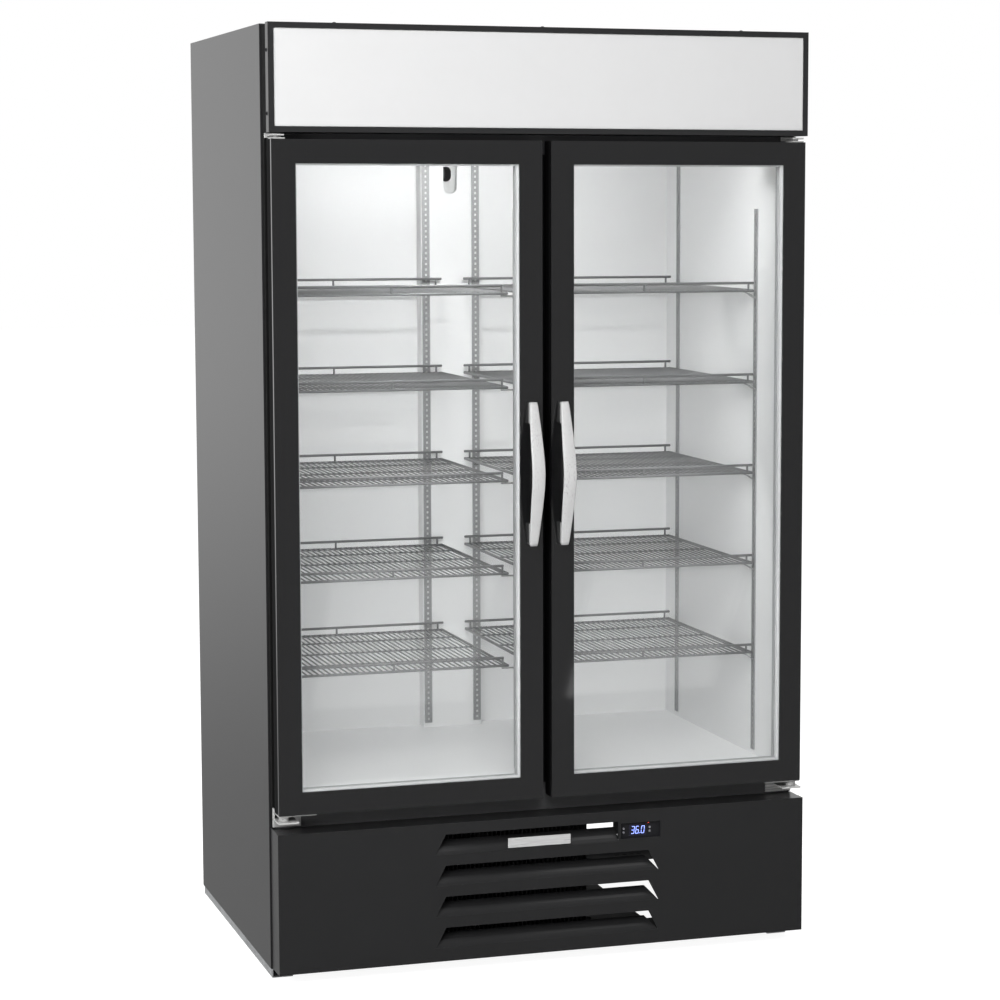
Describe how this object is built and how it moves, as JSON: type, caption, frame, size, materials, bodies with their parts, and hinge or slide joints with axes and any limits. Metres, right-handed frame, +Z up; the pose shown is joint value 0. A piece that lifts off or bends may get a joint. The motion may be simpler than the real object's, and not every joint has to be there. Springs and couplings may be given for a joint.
{
  "type": "glass door merchandiser",
  "caption": "Upright refrigerated display cabinet with self-closing swing glass doors, wire shelves, lit header sign and a louvered lower panel over the condensing unit.",
  "frame": {"origin": "on the floor, under the centre of the whole object's bounding box", "axes": "+Z up, +Y from the doors towards the back, +X to the right as seen from the front"},
  "size_m": [1.198, 0.913, 2.0221],
  "materials": {
    "black_powder_coat": "satin",
    "black_door_frame": "satin",
    "white_liner": "satin",
    "white_post": "satin",
    "galvanised": "matte",
    "chassis_black": "matte",
    "zinc_plate": "gloss",
    "satin_handle": "satin",
    "clear_glass": "polished",
    "white_spacer": "satin",
    "gasket_rubber": "matte",
    "grey_wire": "satin",
    "pilaster_steel": "satin",
    "foam": "matte",
    "sign_white": "satin",
    "lamp_white": "satin",
    "brushed_plate": "satin",
    "control_black": "satin",
    "display_glass": "gloss",
    "key_grey": "satin",
    "fan_plastic": "matte",
    "motor_black": "matte",
    "fin_aluminium": "satin",
    "compressor_black": "satin",
    "copper_pipe": "satin",
    "drain_plastic": "satin"
  },
  "bodies": {
    "cabinet": {"air_duct_column": "white_liner", "back_panel": "galvanised", "base_frame": "black_powder_coat", "base_pan": "chassis_black", "base_rails": "galvanised", "center_mullion": "white_post", "compressor": "compressor_black", "condenser_coil": "chassis_black", "condenser_fan_motor": "motor_black", "controller_display": "display_glass", "controller_housing": "control_black", "cord_gland": "control_black", "drain_tube": "drain_plastic", "electrical_box": "control_black", "evaporator_coil": "fin_aluminium", "evaporator_housing": "white_liner", "evaporator_motors": "motor_black", "exterior_screws": "control_black", "foam_insulation": "foam", "front_frame": "black_door_frame", "header_box": "black_powder_coat", "header_wall": "white_liner", "hinge_brackets": "zinc_plate", "hinge_pins": "zinc_plate", "interior_lamp": "lamp_white", "liner_floor": "white_liner", "liner_walls": "white_liner", "lower_panel": "black_powder_coat", "mullion_cap": "black_door_frame", "nameplate": "brushed_plate", "pilasters": "pilaster_steel", "refrigerant_lines": "copper_pipe", "shelf_clips": "zinc_plate", "shelves_left": "grey_wire", "shelves_right": "grey_wire", "side_panel_left": "black_powder_coat", "side_panel_right": "black_powder_coat", "sign_frame": "black_powder_coat", "sign_lamps": "lamp_white", "sign_panel": "sign_white", "top_panel": "galvanised"},
    "left_door": {"door_frame_left": "black_door_frame", "door_glass_left": "clear_glass", "glass_spacer_left": "white_spacer", "door_gasket_left": "gasket_rubber", "door_handle_left": "satin_handle", "hinge_plates_left": "zinc_plate"},
    "evaporator_fan_left_wheel": {"evaporator_fan_left": "fan_plastic"},
    "right_door": {"door_frame_right": "black_door_frame", "door_glass_right": "clear_glass", "glass_spacer_right": "white_spacer", "door_gasket_right": "gasket_rubber", "door_handle_right": "satin_handle", "hinge_plates_right": "zinc_plate"},
    "evaporator_fan_right_wheel": {"evaporator_fan_right": "fan_plastic"},
    "condenser_fan_wheel": {"condenser_fan": "fan_plastic"},
    "key_1": {"controller_key_1": "key_grey"},
    "key_2": {"controller_key_2": "key_grey"},
    "key_3": {"controller_key_3": "key_grey"},
    "key_4": {"controller_key_4": "key_grey"}
  },
  "joints": [
    {"name": "left_door_hinge", "type": "hinge", "parent": "cabinet", "child": "left_door", "pos_m": [-0.578, -0.3785, 1.076], "axis": [0, 0, -1], "range_deg": [0, 110], "stiffness_Nm_per_rad": 1.5, "springref_deg": -14.32},
    {"name": "right_door_hinge", "type": "hinge", "parent": "cabinet", "child": "right_door", "pos_m": [0.578, -0.3785, 1.076], "axis": [0, 0, 1], "range_deg": [0, 110], "stiffness_Nm_per_rad": 1.5, "springref_deg": -14.32},
    {"name": "evaporator_fan_left_spin", "type": "hinge", "parent": "cabinet", "child": "evaporator_fan_left_wheel", "pos_m": [-0.19, 0.0355, 1.868], "axis": [0, 1, 0], "continuous": true},
    {"name": "evaporator_fan_right_spin", "type": "hinge", "parent": "cabinet", "child": "evaporator_fan_right_wheel", "pos_m": [0.19, 0.0355, 1.868], "axis": [0, 1, 0], "continuous": true},
    {"name": "condenser_fan_spin", "type": "hinge", "parent": "cabinet", "child": "condenser_fan_wheel", "pos_m": [-0.085, -0.1685, 0.17], "axis": [0, 1, 0], "continuous": true},
    {"name": "key_1_press", "type": "slide", "parent": "cabinet", "child": "key_1", "axis": [0, 1, 0], "range_m": [0, 0.0006], "stiffness_N_per_m": 400},
    {"name": "key_2_press", "type": "slide", "parent": "cabinet", "child": "key_2", "axis": [0, 1, 0], "range_m": [0, 0.0006], "stiffness_N_per_m": 400},
    {"name": "key_3_press", "type": "slide", "parent": "cabinet", "child": "key_3", "axis": [0, 1, 0], "range_m": [0, 0.0006], "stiffness_N_per_m": 400},
    {"name": "key_4_press", "type": "slide", "parent": "cabinet", "child": "key_4", "axis": [0, 1, 0], "range_m": [0, 0.0006], "stiffness_N_per_m": 400}
  ]
}
